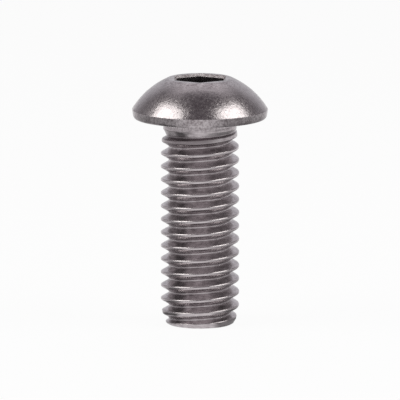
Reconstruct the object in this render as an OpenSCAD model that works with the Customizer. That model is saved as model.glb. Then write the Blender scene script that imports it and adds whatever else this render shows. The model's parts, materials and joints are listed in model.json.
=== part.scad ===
// Button head screw with a hexagon socket and a rolled 3/8-16 thread, for a one inch grip.
// It stands on the end of its thread. The origin is the middle of that end face, +Z runs up
// to the head, and two corners of the socket point along Y. Sizes are in millimetres.

/* [Head] */
// Diameter over the rim
head_d = 16.1; // [15.5:0.1:17]
// Height of the flat crown above the bearing face
head_h = 4.7; // [4.3:0.1:5]
// Diameter of the flat crown, up to where it would meet the dome in a sharp edge
crown_d = 7.66; // [7.2:0.02:9]
// Rounding between the dome and the crown
crown_round = 0.5; // [0.1:0.05:0.6]
// Height of the rim's edge above the bearing face
rim_h = 1.05; // [0.8:0.05:1.4]
// How much narrower the rim is at its foot than at its edge, on the radius
rim_taper = 0.08; // [0.02:0.01:0.2]
// Rounding between the rim's foot and the bearing face
rim_round = 0.5; // [0.2:0.05:0.7]

/* [Socket] */
// Width across the flats of the socket
socket_af = 5.56; // [4.5:0.02:6]
// Depth of the flats below the crown
socket_depth = 3; // [2:0.1:3.4]
// Width of the broken edge round the socket's mouth
socket_break = 0.28; // [0.05:0.01:0.3]
// Point angle of the drilled bottom
drill_angle = 120; // [110:1:150]

/* [Shank] */
// Length from the bearing face to the end of the thread
length = 24.8; // [20:0.1:50]
// Diameter of the plain neck under the head
neck_d = 8.68; // [8.3:0.02:8.8]
// Length of the neck before its root starts to fall away
neck_len = 1.1; // [0.8:0.1:4]
// Fillet between the neck and the bearing face
neck_fillet = 0.3; // [0.1:0.05:0.6]

/* [Thread] */
// Diameter over the crests
major_d = 9.32; // [9.1:0.02:9.5]
// Diameter at which the thread is as wide as the groove beside it
pitch_d = 8.36; // [8.3:0.02:8.5]
// Distance from one crest to the next
pitch = 1.5875; // [1.25:0.0125:1.6]
// Angle between the flanks
flank_angle = 60; // [55:1:65]
// Direction in which a crest meets the end face, measured from +X
start_angle = 211; // [0:1:359]
// Length over which the root falls from the neck to its full depth
root_runout = 1.6; // [1:0.1:4]
// Distance from the bearing face at which the crests leave the neck
crest_start = 1.35; // [1.2:0.05:4]
// Length over which the crests grow from the neck to their full height
crest_runout = 2.2; // [1:0.05:4]

/* [Point] */
// Diameter of the end face
point_d = 7.62; // [7.3:0.01:7.7]
// Height of the broken edge round the end face
point_edge = 0.12; // [0.08:0.01:0.2]
// Angle of the broken edge to the axis
edge_angle = 58; // [45:1:65]
// Angle of the lead-in cone to the axis
point_angle = 32; // [20:1:45]
// Height over the end face at which the crests are full
point_full = 2.1; // [1.6:0.1:3]
// How far the crests still fall short where the lead-in cone ends, on the radius
point_short = 0.38; // [0.1:0.02:0.5]

/* [Hidden] */
$fn = 96;

// Columns of the thread round one turn, and rows in one pitch
columns = 60;
rows = 5;
// How far the blank's hidden core lies inside the roots, and the thread's upper end below the head
inset = 0.12;
// How far the thread lies inside the blank where it starts, so that the two cross and don't graze
sink = 0.03;
// How far cutting tools and overlapping outlines run past what they meet
overrun = 1;

head_r = head_d / 2;
crown_r = crown_d / 2;
neck_r = neck_d / 2;
major_r = major_d / 2;
point_r = point_d / 2;

// Unified thread form: flanks through the pitch diameter, a flat crest, and a root a quarter of the
// pitch wide with a round bottom
flank_run = tan(flank_angle / 2);
crest_w = pitch / 2 - (major_d - pitch_d) * flank_run;
root_w = pitch / 4;
root_corner_r = major_r - (pitch - crest_w - root_w) / 2 / flank_run;
root_round = root_w / 2 / cos(flank_angle / 2);
root_r = root_corner_r - root_round * (1 - sin(flank_angle / 2));
core_r = root_r - inset;

// The crests stay under four cones: the broken edge, the lead-in, the build-up to full crests and
// the fall towards the neck. Each is given as [radius at the end face, growth per height].
edge_growth = tan(edge_angle);
edge_r = point_r + point_edge * edge_growth;
point_growth = tan(point_angle);
short_r = major_r - point_short;
short_growth = point_short / (point_full - point_edge - (short_r - edge_r) / point_growth);
neck_growth = (neck_r - major_r) / crest_runout;
cones = [
    [point_r - sink, edge_growth],
    [edge_r - sink - point_edge * point_growth, point_growth],
    [major_r - short_growth * point_full, short_growth],
    [neck_r - neck_growth * (length - crest_start), neck_growth],
];
thread_bottom = point_edge / 3;
thread_top = length - neck_fillet - inset;

// Height of the dome's centre and its radius, so that it passes through the rim's and the crown's edge
dome_z = (crown_r ^ 2 + head_h ^ 2 - head_r ^ 2 - rim_h ^ 2) / (2 * (head_h - rim_h));
dome_r = sqrt(head_r ^ 2 + (rim_h - dome_z) ^ 2);

// Row j of the thread, counted upwards from a crest centre: its height in one turn's pattern
function row_height(j) =
    let(turn = floor(j / rows), k = j - turn * rows)
    turn * pitch + [crest_w / 2, (pitch - root_w) / 2, pitch / 2, (pitch + root_w) / 2, pitch - crest_w / 2][k];

// Radius of the three rows of a root
function root_row_r(k) = k == 2 ? root_r : root_corner_r;

// Which way a crest's corner slides along its flank as it gets lower: up at row 0, down at row 4
function side(k) = k == 0 ? 1 : -1;

// Radius at which a corner that slides along its flank from height z meets a cone
function meet(cone, z, s) =
    (cone[0] + cone[1] * (z + s * major_r * flank_run)) / (1 + s * cone[1] * flank_run);

// Radius of the lowest cone at height z
function ceiling(z) = min([for (c = cones) c[0] + c[1] * z]);

// Radius and height of row j in column i
function row_point(i, j) =
    let(
        k = j - floor(j / rows) * rows,
        z = row_height(j) + pitch * (i / columns - start_angle / 360),
        crest = k == 0 || k == 4,
        met = min([for (c = cones) meet(c, z, side(k))]),
        r = crest ? max(min(major_r, met), root_corner_r + sink) : root_row_r(k),
        slid = crest ? z + side(k) * (major_r - r) * flank_run : z
    )
    [min(r, ceiling(slid)), slid];

// Height and radius of every corner of the net: the rows, then a ring of points at each end
first_row = -rows * 2;
last_row = ceil((thread_top - thread_bottom) / pitch + 3) * rows;
row_count = last_row - first_row + 1;
ring_start = columns * row_count;

// Index of the point at column i and row j: past an end it is that end's ring point
function net_point(i, j) =
    i == columns ? net_point(0, j + rows) :
    let(z = row_point(i, j)[1])
    z <= thread_bottom ? ring_start + i :
    z >= thread_top ? ring_start + columns + i :
    i * row_count + j - first_row;

// Two triangles between a column and the next, without those that an end has squeezed flat
function net_faces(i, j) =
    let(
        a = net_point(i, j), b = net_point(i, j + 1),
        c = net_point(i + 1, j + 1), d = net_point(i + 1, j)
    )
    [for (f = [[a, b, c], [a, c, d]]) if (f[0] != f[1] && f[1] != f[2] && f[2] != f[0]) f];

function around(i, r, z) = [r * cos(360 * i / columns), r * sin(360 * i / columns), z];

module thread() {
    net = [
        for (i = [0 : columns - 1], j = [first_row : last_row])
            let(p = row_point(i, j)) around(i, p[0], p[1]),
        for (i = [0 : columns - 1]) around(i, ceiling(thread_bottom), thread_bottom),
        for (i = [0 : columns - 1]) around(i, ceiling(thread_top), thread_top),
    ];
    sides = [
        for (i = [0 : columns - 1], j = [first_row : last_row - 1]) each net_faces(i, j)
    ];
    bottom = [for (i = [0 : columns - 1]) ring_start + i];
    top = [for (i = [columns - 1 : -1 : 0]) ring_start + columns + i];
    polyhedron(net, concat(sides, [bottom, top]));
}

// Half section of the head without its rounded crown, with the bearing face on the X axis
module sharp_head_section() {
    foot_r = head_r - rim_taper;
    edge_slope = rim_taper / (rim_h - rim_round);
    intersection() {
        translate([0, dome_z]) circle(r = dome_r);
        union() {
            translate([foot_r - rim_round, rim_round]) circle(r = rim_round);
            polygon([
                [0, 0],
                [foot_r - rim_round, 0],
                [foot_r - rim_round, rim_round],
                [foot_r, rim_round],
                [head_r + overrun * edge_slope, rim_h + overrun],
                [head_r + overrun * edge_slope, head_h],
                [0, head_h],
            ]);
        }
    }
}

// What the rounding takes off the edge between the crown and the dome
module crown_waste() {
    centre_h = head_h - crown_round;
    centre_r = sqrt((dome_r - crown_round) ^ 2 - (centre_h - dome_z) ^ 2);
    dome_edge = [centre_r, centre_h - dome_z] / (dome_r - crown_round) * (dome_r + overrun);
    difference() {
        polygon([
            [centre_r, centre_h],
            [dome_edge[0], dome_z + dome_edge[1]],
            [dome_edge[0], head_h + overrun],
            [centre_r, head_h + overrun],
        ]);
        translate([centre_r, centre_h]) circle(r = crown_round);
    }
}

module head_section() {
    difference() {
        sharp_head_section();
        crown_waste();
    }
}

// Half section of the shank: the end face, its edge, the hidden core, the root's run-out and the neck
module shank_section() {
    runout_top = length - neck_len;
    slope = (neck_r - root_r) / root_runout;
    polygon([
        [0, 0],
        [point_r, 0],
        [edge_r, point_edge],
        [core_r, point_edge + (edge_r - core_r)],
        [core_r, runout_top - (neck_r - core_r) / slope],
        [neck_r, runout_top],
        [neck_r, length - neck_fillet],
        [neck_r + neck_fillet, length - neck_fillet],
        [neck_r + neck_fillet, length + rim_round],
        [0, length + rim_round],
    ]);
}

module blank() {
    rotate_extrude()
        difference() {
            union() {
                translate([0, length]) head_section();
                shank_section();
            }
            translate([neck_r + neck_fillet, length - neck_fillet]) circle(r = neck_fillet);
        }
}

// Hexagonal hole with two corners along Y, a broken edge at the mouth and the drill's cone below
module socket() {
    corner_r = socket_af / 2 / cos(30);
    break_r = (socket_af / 2 + socket_break) / cos(30);
    crown = length + head_h;
    translate([0, 0, crown - socket_depth]) {
        rotate(30) cylinder(r = corner_r, h = socket_depth + overrun, $fn = 6);
        drill_h = socket_af / 2 / tan(drill_angle / 2);
        translate([0, 0, -drill_h]) cylinder(r1 = 0, r2 = socket_af / 2, h = drill_h);
    }
    translate([0, 0, crown - socket_break])
        rotate(30)
            cylinder(r1 = corner_r, r2 = 2 * break_r - corner_r, h = 2 * socket_break, $fn = 6);
}

module button_head_screw() {
    color([0.38, 0.345, 0.36])
        difference() {
            union() {
                blank();
                thread();
            }
            socket();
        }
}

button_head_screw();
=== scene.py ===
import json
import math

import bmesh
import bpy
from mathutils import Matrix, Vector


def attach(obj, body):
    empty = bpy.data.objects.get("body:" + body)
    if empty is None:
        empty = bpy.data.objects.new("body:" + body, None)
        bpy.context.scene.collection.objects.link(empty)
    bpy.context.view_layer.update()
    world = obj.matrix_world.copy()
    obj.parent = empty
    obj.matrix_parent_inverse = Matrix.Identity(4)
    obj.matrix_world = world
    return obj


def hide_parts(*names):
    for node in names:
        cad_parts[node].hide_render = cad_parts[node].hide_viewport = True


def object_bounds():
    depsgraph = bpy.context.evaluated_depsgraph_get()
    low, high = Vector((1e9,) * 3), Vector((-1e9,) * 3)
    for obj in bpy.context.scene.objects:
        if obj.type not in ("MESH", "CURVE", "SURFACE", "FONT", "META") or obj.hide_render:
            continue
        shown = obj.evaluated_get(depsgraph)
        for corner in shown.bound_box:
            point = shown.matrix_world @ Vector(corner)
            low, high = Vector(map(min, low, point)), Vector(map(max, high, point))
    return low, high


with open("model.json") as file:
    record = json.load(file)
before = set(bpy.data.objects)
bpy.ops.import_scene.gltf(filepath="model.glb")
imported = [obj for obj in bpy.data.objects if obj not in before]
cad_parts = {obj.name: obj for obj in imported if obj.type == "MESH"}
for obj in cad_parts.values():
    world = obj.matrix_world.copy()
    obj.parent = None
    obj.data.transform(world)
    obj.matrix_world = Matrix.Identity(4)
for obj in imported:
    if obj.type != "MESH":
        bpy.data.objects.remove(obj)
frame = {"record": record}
cadLow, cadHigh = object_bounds()
mounts = {m["name"]: m for m in frame["record"]["mounts"]}
mm = 0.001
turn = 2 * math.pi


# Camera, at the photograph's angle, far away behind a long lens
view = {
    "elevation": 9.86,  # degrees above the horizon
    "distance": 1.2,  # metres
    "frameWidth": 47.5,  # mm across the picture, at the screw's axis
    "aimHeight": 14.83,  # mm up the axis, which is the middle of the picture
    "sensor": 36,  # mm
    "clip": (0.05, 10),  # metres
}


def setCamera():
    camera = bpy.data.objects.new("camera", bpy.data.cameras.new("camera"))
    bpy.context.scene.collection.objects.link(camera)
    up = math.radians(view["elevation"])
    back = view["distance"]
    camera.location = (0, -back * math.cos(up), view["aimHeight"] * mm + back * math.sin(up))
    camera.rotation_euler = (math.pi / 2 - up, 0, 0)
    camera.data.sensor_width = view["sensor"]
    camera.data.lens = view["sensor"] * back / (view["frameWidth"] * mm)
    camera.data.clip_start, camera.data.clip_end = view["clip"]
    bpy.context.scene.camera = camera


# Helpers for node trees
def addNode(tree, kind, **settings):
    node = tree.nodes.new(kind)
    for name, value in settings.items():
        setattr(node, name, value)
    return node


def plug(tree, socket, value):
    if isinstance(value, bpy.types.NodeSocket):
        tree.links.new(value, socket)
    else:
        socket.default_value = value


def calc(tree, operation, *values):
    node = addNode(tree, "ShaderNodeMath", operation=operation)
    for socket, value in zip(node.inputs, values):
        plug(tree, socket, value)
    return node.outputs[0]


def product(tree, result, *others):
    for value in others:
        result = calc(tree, "MULTIPLY", result, value)
    return result


def vectorCalc(tree, operation, *values):
    node = addNode(tree, "ShaderNodeVectorMath", operation=operation)
    for socket, value in zip(node.inputs, values):
        plug(tree, socket, value)
    return node.outputs["Value" if operation == "LENGTH" else "Vector"]


def split(tree, vector):
    node = addNode(tree, "ShaderNodeSeparateXYZ")
    plug(tree, node.inputs[0], vector)
    return node.outputs


def combine(tree, **values):
    node = addNode(tree, "ShaderNodeCombineXYZ")
    for axis, value in values.items():
        plug(tree, node.inputs[axis], value)
    return node.outputs[0]


# A share that goes smoothly from 0 to 1 as the value goes from the first end to the second
def fade(tree, value, ends):
    node = addNode(tree, "ShaderNodeMapRange", interpolation_type="SMOOTHSTEP")
    plug(tree, node.inputs["Value"], value)
    node.inputs["From Min"].default_value, node.inputs["From Max"].default_value = ends
    return node.outputs["Result"]


def blendColour(tree, share, colourA, colourB):
    mix = addNode(tree, "ShaderNodeMix", data_type="RGBA")
    plug(tree, mix.inputs[0], share)
    plug(tree, mix.inputs[6], colourA)
    plug(tree, mix.inputs[7], colourB)
    return mix.outputs[2]


# Studio: a room that is white at the horizon and dark overhead, with a pale backdrop that curves up
# behind the screw. Directions are unit vectors: X points right, Y back and Z up.
studio = {
    "room": {  # colour by Z
        0.0: (1, 1, 1),
        0.03: (1, 1, 1),
        0.12: (0.42, 0.41, 0.42),
        0.4: (0.27, 0.26, 0.27),
        0.85: (0.125, 0.11, 0.122),
    },
    "backdrop": (0.74, 0.74, 0.77, 1),
    "backdropTop": (0.95, 0.93, 0.95, 1),
    "backdropRise": (0.5, 0.87),  # Z, from its own colour to the top's
    "backdropMiddle": 0.02,  # X, a little to the right
    "backdropEdge": (0.12, 0.34),  # Y, where it fades in
    "backdropSide": (0.7, 0.36),  # X, counted from its middle
    "backdropFoot": (0.03, 0.12),  # Z
    "waistFoot": (0.45, 0.66),  # Z, where it is narrower, between the wall and the panel overhead
    "waistTop": (0.93, 0.84),
    "waistDepth": 0.13,  # X, at each side
    "front": (0.7, 0.7, 0.7, 1),  # a pale wall in front, below the soft boxes
    "frontEdge": (0.05, 0.4),  # Y, towards the camera
    "frontTop": (0.62, 0.45),  # Z
}


def setWorld():
    world = bpy.data.worlds.new("studio")
    bpy.context.scene.world = world
    world.use_nodes = True
    tree = world.node_tree
    tree.nodes.clear()
    way = split(tree, addNode(tree, "ShaderNodeTexCoord").outputs["Generated"])
    ramp = addNode(tree, "ShaderNodeValToRGB")
    stops = ramp.color_ramp.elements
    for position in list(studio["room"])[1:-1]:
        stops.new(position)
    for stop, (position, colour) in zip(stops, studio["room"].items()):
        stop.position = position
        stop.color = (*colour, 1)
    plug(tree, ramp.inputs[0], way["Z"])

    sideways = calc(tree, "ABSOLUTE", calc(tree, "SUBTRACT", way["X"], studio["backdropMiddle"]))
    overFoot = fade(tree, way["Z"], studio["waistFoot"])
    waist = product(tree, overFoot, fade(tree, way["Z"], studio["waistTop"]))
    sideways = calc(tree, "MULTIPLY_ADD", waist, studio["waistDepth"], sideways)
    behind = fade(tree, way["Y"], studio["backdropEdge"])
    beside = fade(tree, sideways, studio["backdropSide"])
    above = fade(tree, way["Z"], studio["backdropFoot"])
    rise = fade(tree, way["Z"], studio["backdropRise"])
    backdrop = blendColour(tree, rise, studio["backdrop"], studio["backdropTop"])
    room = blendColour(tree, product(tree, behind, beside, above), ramp.outputs["Color"], backdrop)

    inFront = fade(tree, calc(tree, "MULTIPLY", way["Y"], -1), studio["frontEdge"])
    belowLamps = fade(tree, way["Z"], studio["frontTop"])
    room = blendColour(tree, product(tree, inFront, belowLamps), room, studio["front"])
    background = addNode(tree, "ShaderNodeBackground")
    plug(tree, background.inputs["Color"], room)
    output = addNode(tree, "ShaderNodeOutputWorld")
    plug(tree, output.inputs["Surface"], background.outputs[0])


# Two soft boxes, in degrees and metres
boxColour = (0.98, 1, 0.95)
boxAim = 0.027  # height on the axis where they point
softBoxes = {
    "left": {
        "azimuth": -74.5,
        "elevation": 45,
        "roll": 14,
        "distance": 0.3,
        "wide": 0.222,
        "tall": 0.147,
        "watts": 0.355,
    },
    "right": {
        "azimuth": 73.5,
        "elevation": 45.5,
        "roll": -14,
        "distance": 0.3,
        "wide": 0.22,
        "tall": 0.14,
        "watts": 0.318,
    },
}


def addSoftBox(name, box):
    data = bpy.data.lights.new(name + "Box", "AREA")
    data.shape = "RECTANGLE"
    data.size = box["wide"]
    data.size_y = box["tall"]
    data.energy = box["watts"]
    data.color = boxColour
    lamp = bpy.data.objects.new(name + "Box", data)
    bpy.context.scene.collection.objects.link(lamp)
    side, up = math.radians(box["azimuth"]), math.radians(box["elevation"])
    flat = box["distance"] * math.cos(up)
    high = box["distance"] * math.sin(up) + boxAim
    lamp.location = (flat * math.sin(side), -flat * math.cos(side), high)
    lamp.rotation_euler = (math.pi / 2 - up, 0, side)
    lamp.rotation_euler.rotate_axis("Z", math.radians(box["roll"]))


# White floor, which the metal sees darker in places, as painted shade and painted shadows of the screw.
# Lengths are in metres, and ways are the X of the direction from the screw's axis, so 1 is fully to the
# right.
ground = {
    "size": 3,
    "colour": (0.9, 0.9, 0.9, 1),
    "glow": 0.93,  # share of plain white in what the camera sees
    "sides": (0.1, 1),  # ways, painted shade towards both sides
    "sidesMiddle": (0.013, 0, 0),  # moved a little to the left
    "sidesReach": (0.17, 0.08),
    "sidesNear": (0.01, 0.03),
    "sidesDrop": 0.65,
    "shadeWays": (0.75, 0.91),  # the screw's own painted shadow, nearer by
    "shadeReach": (0.037, 0.023),
    "shadeBack": (0.008, 0.0),  # behind the screw, where it ends
    "shadeLean": 0.12,  # how much wider it is on the left
    "leanReach": (0.012, 0.035),  # over which its right side draws back
    "clearReach": (0.0056, 0.0043),  # where it is fainter, at the very foot
    "clearShare": 0.75,
    "shadeDrop": 0.85,
    "footWays": (0.34, 0.62),  # a second painted shadow at the screw's foot, on the right only
    "footReach": (0.0095, 0.0065),
    "footDrop": 0.68,
}


def floorMaterial():
    material = bpy.data.materials.new("whiteFloorPaintedShade")
    material.use_nodes = True
    tree = material.node_tree
    tree.nodes.clear()
    path = addNode(tree, "ShaderNodeLightPath").outputs
    place = addNode(tree, "ShaderNodeTexCoord").outputs["Object"]
    spot = split(tree, place)
    way = split(tree, vectorCalc(tree, "NORMALIZE", place))["X"]
    sideways = calc(tree, "ABSOLUTE", way)
    away = vectorCalc(tree, "LENGTH", place)
    awayLeft = vectorCalc(tree, "LENGTH", vectorCalc(tree, "ADD", place, ground["sidesMiddle"]))

    # Painted shade at both sides, seen only in reflections
    far = fade(tree, awayLeft, ground["sidesReach"])
    near = fade(tree, awayLeft, ground["sidesNear"])
    sides = product(tree, far, near, fade(tree, sideways, ground["sides"]), ground["sidesDrop"])

    # The screw's own painted shadow, wider on the left and fainter at the very foot
    lean = calc(tree, "MAXIMUM", fade(tree, away, ground["leanReach"]), calc(tree, "LESS_THAN", way, 0))
    lean = calc(tree, "MULTIPLY", lean, -ground["shadeLean"])
    leaning = calc(tree, "MULTIPLY_ADD", way, lean, sideways)
    clear = fade(tree, away, ground["clearReach"])
    clear = calc(tree, "MULTIPLY_ADD", clear, -ground["clearShare"], 1)
    reached = fade(tree, awayLeft, ground["shadeReach"])
    notBehind = fade(tree, spot["Y"], ground["shadeBack"])
    within = fade(tree, leaning, ground["shadeWays"])
    shade = product(tree, reached, notBehind, within, clear, ground["shadeDrop"])

    # A second painted shadow at the screw's foot, on the right
    atFoot = fade(tree, away, ground["footReach"])
    foot = product(tree, atFoot, fade(tree, way, ground["footWays"]), ground["footDrop"])
    drop = calc(tree, "MAXIMUM", calc(tree, "MAXIMUM", sides, shade), foot)

    # Only reflections see the painted shade; the camera sees the plain white floor
    mirrored = calc(tree, "MAXIMUM", path["Is Glossy Ray"], path["Is Transmission Ray"])
    seen = calc(tree, "MULTIPLY_ADD", path["Is Camera Ray"], ground["glow"], mirrored)
    paint = addNode(tree, "ShaderNodeBsdfDiffuse")
    paint.inputs["Color"].default_value = ground["colour"]
    glow = addNode(tree, "ShaderNodeEmission")
    plug(tree, glow.inputs["Strength"], calc(tree, "SUBTRACT", 1, product(tree, mirrored, drop)))
    mix = addNode(tree, "ShaderNodeMixShader")
    plug(tree, mix.inputs[0], seen)
    plug(tree, mix.inputs[1], paint.outputs[0])
    plug(tree, mix.inputs[2], glow.outputs[0])
    output = addNode(tree, "ShaderNodeOutputMaterial")
    plug(tree, output.inputs["Surface"], mix.outputs[0])
    return material


def setStudio():
    setWorld()
    for name, box in softBoxes.items():
        addSoftBox(name, box)
    half = ground["size"] / 2
    corners = [(-half, -half, 0), (half, -half, 0), (half, half, 0), (-half, half, 0)]
    mesh = bpy.data.meshes.new("floor")
    mesh.from_pydata(corners, [], [(0, 1, 2, 3)])
    mesh.materials.append(floorMaterial())
    floor = bpy.data.objects.new("floor", mesh)
    bpy.context.scene.collection.objects.link(floor)


# Tumbled steel: a grained satin head with duller patches, a thread with the fine streaks of rolling,
# and a socket painted dark as painted shade. Lengths are in mm, and a pair of sizes is along the thread and
# across it.
steel = {
    "light": (0.495, 0.452, 0.467, 1),
    "dark": (0.225, 0.194, 0.205, 1),
    "burnished": (0.6, 0.55, 0.565, 1),
    # painted shade in the socket's recess
    "socket": (0.2, 0.18, 0.19, 1),
    "headFoot": (1.6, 0.6),  # below the bearing face, where the thread's look gives way to the head's
    "patchSize": 1.3,
    "speckSize": 0.22,
    "lineSize": (0.8, 0.16),  # the specks of the thread
    "noiseSpan": (0.35, 0.6),  # the noise from which these are dark to where they are light
    "speckShare": 0.55,  # of the colour's change, and the rest comes from the patches
    "calmShare": 0.65,  # how much fainter specks and patches are on the dome
    "calmLight": 0.65,  # the share of the light colour that they come closer to
    "calmFoot": (0.9, 1.3),  # above the bearing face
    "calmTop": (4.3, 5.3),  # from the axis
    "threadShare": 0.26,  # of the burnished colour in the thread
    "crestShare": 0.4,  # and as much more on its crests
    "crestFoot": (4.42, 4.62),  # from the axis
    "darkerCrestTop": (1.6, 2.1),  # below the bearing face, where the half-formed crest is darker
    "darkerCrestFoot": (3.1, 2.6),
    "darkerCrestSide": (2.6, 0.6),  # right of the axis, where it ends
    "darkerCrestShare": 0.8,  # of the dark colour
    "socketEdge": (3.4, 3.3),  # from the axis
    "socketDepth": (0.29, 0.45),  # below the crown, where its painted shade starts
    "grainSize": 0.3,  # on the head
    "grainDepth": 0.0065,
    "grainFoot": (3.4, 4.2),  # from the axis, as the crown and the socket are smoother
    "dullSpan": (0.3, 0.7),  # the noise of the grain from which it is glossy to where it is dull
    "roughness": (0.22, 0.32),
    "pitSize": 0.26,  # on the head too
    "pitSpan": (0.5, 0.74),  # the noise from which a pit starts to where it is deepest
    "pitDepth": 0.0045,
    "mottleSize": 0.55,  # all over
    "mottleDepth": 0.008,
    "streakSize": (0.9, 0.07),
    "streakDepth": 0.0004,
}


def inMetres(name):
    return [value * mm for value in steel[name]]


def belowHead(name):
    return [(length - down) * mm for down in steel[name]]


def steelNoise(tree, place, name, detail):
    size = steel[name]
    along, across = size if isinstance(size, tuple) else (size, size)
    mapping = addNode(tree, "ShaderNodeMapping")
    plug(tree, mapping.inputs["Vector"], place)
    mapping.inputs["Scale"].default_value = [1 / (s * mm) for s in (along, along, across)]
    noise = addNode(tree, "ShaderNodeTexNoise")
    plug(tree, noise.inputs["Vector"], mapping.outputs[0])
    noise.inputs["Scale"].default_value = 1
    noise.inputs["Detail"].default_value = detail
    return noise.outputs["Fac"]


def steelBump(tree, height, depth, strength, under=None):
    bump = addNode(tree, "ShaderNodeBump")
    bump.inputs["Distance"].default_value = depth * mm
    plug(tree, bump.inputs["Strength"], strength)
    plug(tree, bump.inputs["Height"], height)
    if under:
        plug(tree, bump.inputs["Normal"], under)
    return bump.outputs["Normal"]


def steelMaterial():
    material = bpy.data.materials.new("tumbledSteel")
    material.use_nodes = True
    tree = material.node_tree
    surface = tree.nodes["Principled BSDF"]
    surface.inputs["Metallic"].default_value = 1
    place = addNode(tree, "ShaderNodeTexCoord").outputs["Object"]
    parts = split(tree, place)
    height = parts["Z"]
    fromAxis = vectorCalc(tree, "LENGTH", combine(tree, X=parts["X"], Y=parts["Y"]))
    onHead = fade(tree, height, belowHead("headFoot"))
    onThread = calc(tree, "SUBTRACT", 1, onHead)

    # Patches and specks between dark and light, fainter on the dome
    patches = fade(tree, steelNoise(tree, place, "patchSize", 3), steel["noiseSpan"])
    specks = fade(tree, steelNoise(tree, place, "speckSize", 1), steel["noiseSpan"])
    lines = fade(tree, steelNoise(tree, place, "lineSize", 1), steel["noiseSpan"])
    specks = calc(tree, "MULTIPLY_ADD", onThread, calc(tree, "SUBTRACT", lines, specks), specks)
    patches = calc(tree, "MULTIPLY", patches, 1 - steel["speckShare"])
    lightness = calc(tree, "MULTIPLY_ADD", specks, steel["speckShare"], patches)
    aboveRim = fade(tree, height, [(length + up) * mm for up in steel["calmFoot"]])
    besideCrown = fade(tree, fromAxis, inMetres("calmTop"))
    calm = product(tree, besideCrown, aboveRim, steel["calmShare"])
    toCalm = calc(tree, "SUBTRACT", steel["calmLight"], lightness)
    lightness = calc(tree, "MULTIPLY_ADD", toCalm, calm, lightness)
    colour = blendColour(tree, lightness, steel["dark"], steel["light"])

    # The thread is burnished, most of all on its crests, and the half-formed crest is darker
    onCrest = fade(tree, fromAxis, inMetres("crestFoot"))
    rolledShare = calc(tree, "MULTIPLY_ADD", onCrest, steel["crestShare"], steel["threadShare"])
    colour = blendColour(tree, product(tree, onThread, rolledShare), colour, steel["burnished"])
    # Darker only on the left of the axis
    halfCrestDarker = product(tree, fade(tree, height, belowHead("darkerCrestTop")), fade(tree, height, belowHead("darkerCrestFoot")))
    leftOf = fade(tree, parts["X"], inMetres("darkerCrestSide"))
    colour = blendColour(tree, product(tree, halfCrestDarker, steel["darkerCrestShare"], leftOf), colour, steel["dark"])

    # The socket is painted dark below its mouth: painted shade in its recess
    within = fade(tree, fromAxis, inMetres("socketEdge"))
    below = fade(tree, height, [cadHigh.z - deep * mm for deep in steel["socketDepth"]])
    aboveShank = calc(tree, "GREATER_THAN", height, length * mm)
    paintedSocketShade = product(tree, within, below, aboveShank)
    plug(tree, surface.inputs["Base Color"], blendColour(tree, paintedSocketShade, colour, steel["socket"]))

    grain = steelNoise(tree, place, "grainSize", 2)
    dull = fade(tree, grain, steel["dullSpan"])
    low, high = steel["roughness"]
    plug(tree, surface.inputs["Roughness"], calc(tree, "MULTIPLY_ADD", dull, high - low, low))

    # Relief: the mottle all over but on the crown, streaks on the thread, grain and pits on the dome
    mottle = steelNoise(tree, place, "mottleSize", 1)
    streaks = steelNoise(tree, place, "streakSize", 2)
    pits = fade(tree, steelNoise(tree, place, "pitSize", 1), steel["pitSpan"])
    outside = fade(tree, fromAxis, inMetres("grainFoot"))
    onDome = product(tree, outside, onHead)
    normal = steelBump(tree, mottle, steel["mottleDepth"], calc(tree, "MAXIMUM", outside, onThread))
    normal = steelBump(tree, streaks, steel["streakDepth"], onThread, normal)
    normal = steelBump(tree, grain, steel["grainDepth"], onDome, normal)
    normal = steelBump(tree, pits, steel["pitDepth"], onDome, normal)
    plug(tree, surface.inputs["Normal"], normal)
    return material


# Head, neck and point, in mm. Heights are counted from the bearing face, and the point's from the end face
length = mounts["bearing_face"]["pos_m"][2] / mm
head = {
    "radius": cadHigh.x / mm,
    "height": cadHigh.z / mm - length,
    "crownRadius": 3.83,  # where the flat crown would meet the dome in a sharp edge
    "crownRound": 0.5,
    "rimHeight": 1.0,
    "rimTaper": 0.08,
    "rimEdge": 0.06,  # rounding between the rim and the dome
    "rimRound": 0.6,
    "rimFoot": 45,  # degrees below the horizon, where the rounding meets the bearing face
    "socketFlats": 5.56,
    "socketDepth": mounts["key_socket"]["dims"]["length_mm"],
    "socketBreak": (0.28, 0.3),  # across and deep
    "drillAngle": 120,
    "columns": 168,  # a multiple of 12, so that the socket's corners fall on columns
}
# Steps along each curve of the head, and rings on its straight faces by their share of the way
headNet = {
    "fillet": 6,
    "rimRound": 8,
    "rimEdge": 6,
    "dome": 28,
    "crownRound": 8,
    "bearingFace": (0.05, 0.35, 0.65, 0.95),
    "rim": (0.35, 0.7),
    "crown": (0.12, 0.6),
    "socketWall": (0.04, 0.5, 0.96),
    "drill": (0.3, 0.6, 0.9),
}
neck = {
    "radius": 4.34,
    "fillet": 0.3,
    "rollTop": 0.42,  # below the bearing face, where the rolled length starts
}
point = {
    "radius": 3.81,
    "innerRing": 0.6,  # as a share of the radius
    "edge": 0.12,
    "edgeAngle": 58,  # degrees to the axis, as the lead-in's
    "leadInAngle": 32,
}
pointEdgeR = point["radius"] + point["edge"] * math.tan(math.radians(point["edgeAngle"]))


def arc(centre, radius, start, end, steps):
    angles = [start + (end - start) * i / steps for i in range(steps + 1)]
    return [(centre[0] + radius * math.cos(a), centre[1] + radius * math.sin(a)) for a in angles]


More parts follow.
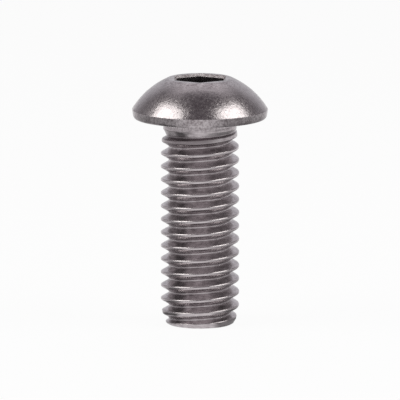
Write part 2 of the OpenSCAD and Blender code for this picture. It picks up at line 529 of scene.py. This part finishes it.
# Half section from the neck up over the rim and the dome to the edge of the crown, as (radius, height)
def headOutline():
    rim, top, r = head["rimHeight"], head["height"], head["radius"]
    domeZ = (head["crownRadius"] ** 2 + top ** 2 - r ** 2 - rim ** 2) / (2 * (top - rim))
    domeR = math.hypot(r, rim - domeZ)
    footR = r - head["rimTaper"]
    foot = math.radians(head["rimFoot"])
    roundR, roundZ = footR - head["rimRound"], head["rimRound"] * math.sin(foot)
    lean = math.atan2(head["rimTaper"], rim - roundZ)

    # Centre of the rim edge's rounding, by halving: on the rim's inner line, as high as the dome lets it
    edge = head["rimEdge"]
    low, high = rim - 1, rim
    for _ in range(40):
        middle = (low + high) / 2
        edgeR = r - (rim - middle) * math.tan(lean) - edge / math.cos(lean)
        inside = math.hypot(edgeR, middle - domeZ) < domeR - edge
        low, high = (middle, high) if inside else (low, middle)
    edgeUp = math.atan2(low - domeZ, edgeR)

    # Centre of the crown's rounding
    soft = head["crownRound"]
    softR = math.sqrt((domeR - soft) ** 2 - (top - soft - domeZ) ** 2)
    softUp = math.atan2(top - soft - domeZ, softR)

    filletR = neck["radius"] + neck["fillet"]
    bearingR = roundR + head["rimRound"] * math.cos(foot)
    wall = low - roundZ
    outline = [(neck["radius"], -neck["rollTop"])]
    outline += arc((filletR, -neck["fillet"]), neck["fillet"], math.pi, math.pi / 2, headNet["fillet"])
    outline += [(filletR + (bearingR - filletR) * k, 0) for k in headNet["bearingFace"]]
    rimFootAt = len(outline)
    outline += arc((roundR, roundZ), head["rimRound"], -foot, -lean, headNet["rimRound"])
    outline += [(footR + wall * math.tan(lean) * k, roundZ + wall * k) for k in headNet["rim"]]
    outline += arc((edgeR, low), edge, -lean, edgeUp, headNet["rimEdge"])
    outline += arc((0, domeZ), domeR, edgeUp, softUp, headNet["dome"])[1:-1]
    outline += arc((softR, top - soft), soft, softUp, math.pi / 2, headNet["crownRound"])
    return outline, rimFootAt


def roundRing(radius, z):
    angles = [turn * i / head["columns"] for i in range(head["columns"])]
    return [(radius * math.cos(a), radius * math.sin(a), z) for a in angles]


# A ring on a hexagon whose flats look along X and whose corners point along Y
def hexRing(flat, z):
    ring = []
    for i in range(head["columns"]):
        angle = turn * i / head["columns"]
        fromFlat = (angle + turn / 12) % (turn / 6) - turn / 12
        reach = flat / math.cos(fromFlat)
        ring.append((reach * math.cos(angle), reach * math.sin(angle), z))
    return ring


def blend(ringA, ringB, share):
    return [tuple(a + (b - a) * share for a, b in zip(p, q)) for p, q in zip(ringA, ringB)]


# The head's rings from the neck over the crown down to the drilled bottom, its lowest point, and the
# rings that are sharp edges, the socket's wall first
def headRings():
    outline, rimFootAt = headOutline()
    top = head["height"]
    floor = top - head["socketDepth"]
    flat, (broken, breakDepth) = head["socketFlats"] / 2, head["socketBreak"]
    mouth = hexRing(flat + broken, top)
    wall = hexRing(flat, top - breakDepth)
    foot = hexRing(flat, floor)
    drillTop = roundRing(flat, floor)
    drillDepth = flat / math.tan(math.radians(head["drillAngle"] / 2))
    rings = [roundRing(r, z) for r, z in outline]
    rings += [blend(rings[-1], mouth, k) for k in headNet["crown"]]
    rings += [mouth, wall]
    rings += [blend(wall, foot, k) for k in headNet["socketWall"]]
    rings += [foot, drillTop]
    rings += [roundRing(flat * (1 - k), floor - drillDepth * k) for k in headNet["drill"]]
    return rings, (0, 0, floor - drillDepth), [wall, foot, mouth, drillTop, rings[rimFootAt]]


def pointRings():
    inner = point["radius"] * point["innerRing"]
    return [roundRing(pointEdgeR, point["edge"]), roundRing(point["radius"], 0), roundRing(inner, 0)]


def addRings(mesh, rings, lift):
    return [[mesh.verts.new((x * mm, y * mm, (z + lift) * mm)) for x, y, z in ring] for ring in rings]


# Faces between rings that follow each other, wound so that they look away from the metal
def skinRings(mesh, rings, flip):
    count = head["columns"]
    for lower, upper in zip(rings, rings[1:]):
        for i in range(count):
            j = (i + 1) % count
            corners = [lower[i], lower[j], upper[j], upper[i]]
            mesh.faces.new(corners[::-1] if flip else corners)


def fan(mesh, ring, tip, flip):
    count = head["columns"]
    for i in range(count):
        corners = [ring[i], ring[(i + 1) % count], tip]
        mesh.faces.new(corners[::-1] if flip else corners)


def sharpen(mesh, ring):
    for a, b in zip(ring, ring[1:] + ring[:1]):
        mesh.edges.get((a, b)).smooth = False


def makeBlank():
    mesh = bmesh.new()
    shapes, apex, sharp = headRings()
    rings = addRings(mesh, shapes, length)
    skinRings(mesh, rings, False)
    fan(mesh, rings[-1], mesh.verts.new((0, 0, (apex[2] + length) * mm)), False)
    for shape, ring in zip(shapes, rings):
        if shape in sharp:
            sharpen(mesh, ring)

    # The socket's six corners, from its mouth to its foot
    corner = head["columns"] // 12
    wallAt, footAt = shapes.index(sharp[0]), shapes.index(sharp[1])
    for i in range(corner, head["columns"], 2 * corner):
        for lower, upper in zip(rings[wallAt - 1:footAt], rings[wallAt:footAt + 1]):
            mesh.edges.get((lower[i], upper[i])).smooth = False

    ends = addRings(mesh, pointRings(), 0)
    skinRings(mesh, ends, True)
    fan(mesh, ends[-1], mesh.verts.new((0, 0, 0)), True)
    sharpen(mesh, ends[0])
    sharpen(mesh, ends[1])
    for face in mesh.faces:
        face.smooth = True
    data = bpy.data.meshes.new("screw")
    mesh.to_mesh(data)
    mesh.free()
    return data


# The rolled thread, in metres and radians: the inputs of the tree below
thread = {
    "Pitch": 1.5875 * mm,
    "Crest radius": 4.66 * mm,
    "Crest width": 0.27 * mm,
    "Crest rounding": 0.22 * mm,
    "Flank angle": math.radians(30),  # of each flank to the plane across the axis
    "Root radius": 3.72 * mm,
    "Root rounding": 0.23 * mm,
    "Start": 211 / 360,  # where a crest meets the end face, in turns from +X
    "Columns": head["columns"],
    "Rows in a pitch": 32,
    "Bottom": point["edge"] * mm,
    "Bottom radius": pointEdgeR * mm,
    "Lead-in growth": math.tan(math.radians(point["leadInAngle"])),
    "Full height": 2.1 * mm,
    "Short by": 0.38 * mm,  # how far the crests fall short where the lead-in ends
    "Top": (length - neck["rollTop"]) * mm,
    "Top radius": neck["radius"] * mm,
    "Neck bottom": (length - 1.28) * mm,
    "Root run-out": 1.45 * mm,
    "Crests end": (length - 1.35) * mm,
    "Crest run-out": 2.2 * mm,
    "Weld distance": 0.001 * mm,
}


def threadTree():
    tree = bpy.data.node_groups.new("rolledThread", "GeometryNodeTree")
    tree.interface.new_socket("Geometry", in_out="INPUT", socket_type="NodeSocketGeometry")
    for name, value in thread.items():
        kind = "NodeSocketInt" if isinstance(value, int) else "NodeSocketFloat"
        tree.interface.new_socket(name, in_out="INPUT", socket_type=kind)
    tree.interface.new_socket("Material", in_out="INPUT", socket_type="NodeSocketMaterial")
    tree.interface.new_socket("Geometry", in_out="OUTPUT", socket_type="NodeSocketGeometry")
    given = addNode(tree, "NodeGroupInput").outputs

    def do(operation, *values):
        return calc(tree, operation, *values)

    # A flat net that spans all turns: x runs once round the screw, y up it
    turns = do("ADD", do("CEIL", do("DIVIDE", given["Top"], given["Pitch"])), 3)
    tall = do("MULTIPLY", turns, given["Pitch"])
    grid = addNode(tree, "GeometryNodeMeshGrid")
    plug(tree, grid.inputs["Size X"], 1)
    plug(tree, grid.inputs["Size Y"], tall)
    plug(tree, grid.inputs["Vertices X"], do("ADD", given["Columns"], 1))
    plug(tree, grid.inputs["Vertices Y"], do("MULTIPLY_ADD", turns, given["Rows in a pitch"], 1))
    place = split(tree, addNode(tree, "GeometryNodeInputPosition").outputs[0])
    around = do("ADD", place["X"], 0.5)
    along = do("MULTIPLY_ADD", tall, 0.5, place["Y"])

    # The net is sheared along the helix, starts two turns below the end face, and is held between the ends
    rise = do("SUBTRACT", do("SUBTRACT", around, given["Start"]), 2)
    free = do("MULTIPLY_ADD", rise, given["Pitch"], along)
    height = do("MINIMUM", do("MAXIMUM", free, given["Bottom"]), given["Top"])

    # Radius of the flanks, by the distance along the axis from the middle of a crest
    fromCrest = do("PINGPONG", along, do("MULTIPLY", given["Pitch"], 0.5))
    pastCrest = do("SUBTRACT", fromCrest, do("MULTIPLY", given["Crest width"], 0.5))
    lower = do("DIVIDE", pastCrest, do("TANGENT", given["Flank angle"]))
    flank = do("SUBTRACT", given["Crest radius"], lower)

    # The crests stay under the lead-in, the build-up to full crests and the fall towards the neck
    fromBottom = do("SUBTRACT", height, given["Bottom"])
    leadIn = do("MULTIPLY_ADD", fromBottom, given["Lead-in growth"], given["Bottom radius"])
    shortR = do("SUBTRACT", given["Crest radius"], given["Short by"])
    leadInEnd = do("DIVIDE", do("SUBTRACT", shortR, given["Bottom radius"]), given["Lead-in growth"])
    buildUp = do("SUBTRACT", do("SUBTRACT", given["Full height"], given["Bottom"]), leadInEnd)
    fromFull = do("SUBTRACT", height, given["Full height"])
    growing = do("MULTIPLY_ADD", fromFull, do("DIVIDE", given["Short by"], buildUp), given["Crest radius"])
    fall = do("DIVIDE", do("SUBTRACT", given["Crest radius"], given["Top radius"]), given["Crest run-out"])
    toEnd = do("SUBTRACT", given["Crests end"], height)
    falling = do("MULTIPLY_ADD", toEnd, fall, given["Top radius"])
    tapered = do("MINIMUM", do("MINIMUM", leadIn, growing), falling)
    ceiling = do("SMOOTH_MIN", tapered, given["Crest radius"], given["Crest rounding"])
    crested = do("SMOOTH_MIN", flank, ceiling, given["Crest rounding"])

    # The roots stay over the core, which rises to the neck and to the full edge of the end face
    drop = do("DIVIDE", do("SUBTRACT", given["Top radius"], given["Root radius"]), given["Root run-out"])
    belowNeck = do("MAXIMUM", do("SUBTRACT", given["Neck bottom"], height), 0)
    runOut = do("SUBTRACT", given["Top radius"], do("MULTIPLY", belowNeck, drop))
    tipEdge = do("SUBTRACT", given["Bottom radius"], fromBottom)
    core = do("MAXIMUM", do("MAXIMUM", runOut, tipEdge), given["Root radius"])
    rolled = do("SMOOTH_MAX", crested, core, given["Root rounding"])

    # Rows held at an end lie on that end's ring
    atTop = do("GREATER_THAN", free, given["Top"])
    atBottom = do("LESS_THAN", free, given["Bottom"])
    ends = do("MULTIPLY_ADD", atTop, given["Top radius"], do("MULTIPLY", atBottom, given["Bottom radius"]))
    between = do("SUBTRACT", do("SUBTRACT", 1, atTop), atBottom)
    radius = do("MULTIPLY_ADD", between, rolled, ends)

    angle = do("MULTIPLY", around, turn)
    x = do("MULTIPLY", radius, do("COSINE", angle))
    y = do("MULTIPLY", radius, do("SINE", angle))
    bend = addNode(tree, "GeometryNodeSetPosition")
    plug(tree, bend.inputs["Geometry"], grid.outputs["Mesh"])
    plug(tree, bend.inputs["Position"], combine(tree, X=x, Y=y, Z=height))
    smooth = addNode(tree, "GeometryNodeSetShadeSmooth")
    plug(tree, smooth.inputs["Geometry"], bend.outputs[0])

    # One closed skin with the head and the point
    join = addNode(tree, "GeometryNodeJoinGeometry")
    plug(tree, join.inputs[0], given["Geometry"])
    plug(tree, join.inputs[0], smooth.outputs[0])
    weld = addNode(tree, "GeometryNodeMergeByDistance")
    plug(tree, weld.inputs["Geometry"], join.outputs[0])
    plug(tree, weld.inputs["Distance"], given["Weld distance"])
    real = addNode(tree, "GeometryNodeRealizeInstances")
    plug(tree, real.inputs[0], weld.outputs[0])
    paint = addNode(tree, "GeometryNodeSetMaterial")
    plug(tree, paint.inputs["Geometry"], real.outputs[0])
    plug(tree, paint.inputs["Material"], given["Material"])
    result = addNode(tree, "NodeGroupOutput")
    plug(tree, result.inputs[0], paint.outputs[0])
    return tree


def makeScrew():
    screw = bpy.data.objects.new("screw", makeBlank())
    bpy.context.scene.collection.objects.link(screw)
    tree = threadTree()
    modifier = screw.modifiers.new("thread", "NODES")
    modifier.node_group = tree
    values = {**thread, "Material": steelMaterial()}
    for item in tree.interface.items_tree:
        if item.in_out == "INPUT" and item.name in values:
            modifier[item.identifier] = values[item.name]
    ready = screw.evaluated_get(bpy.context.evaluated_depsgraph_get())
    mesh = bpy.data.meshes.new_from_object(ready)
    screw.modifiers.remove(modifier)
    screw.data = mesh
    mesh.name = "screw"
    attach(screw, "root")
    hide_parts("button_head_screw")
    return screw


setCamera()
print("camera set")
setStudio()
print("studio lit")
made = makeScrew()
print("screw made:", len(made.data.polygons), "faces")

bpy.context.scene.view_settings.view_transform = "Standard"
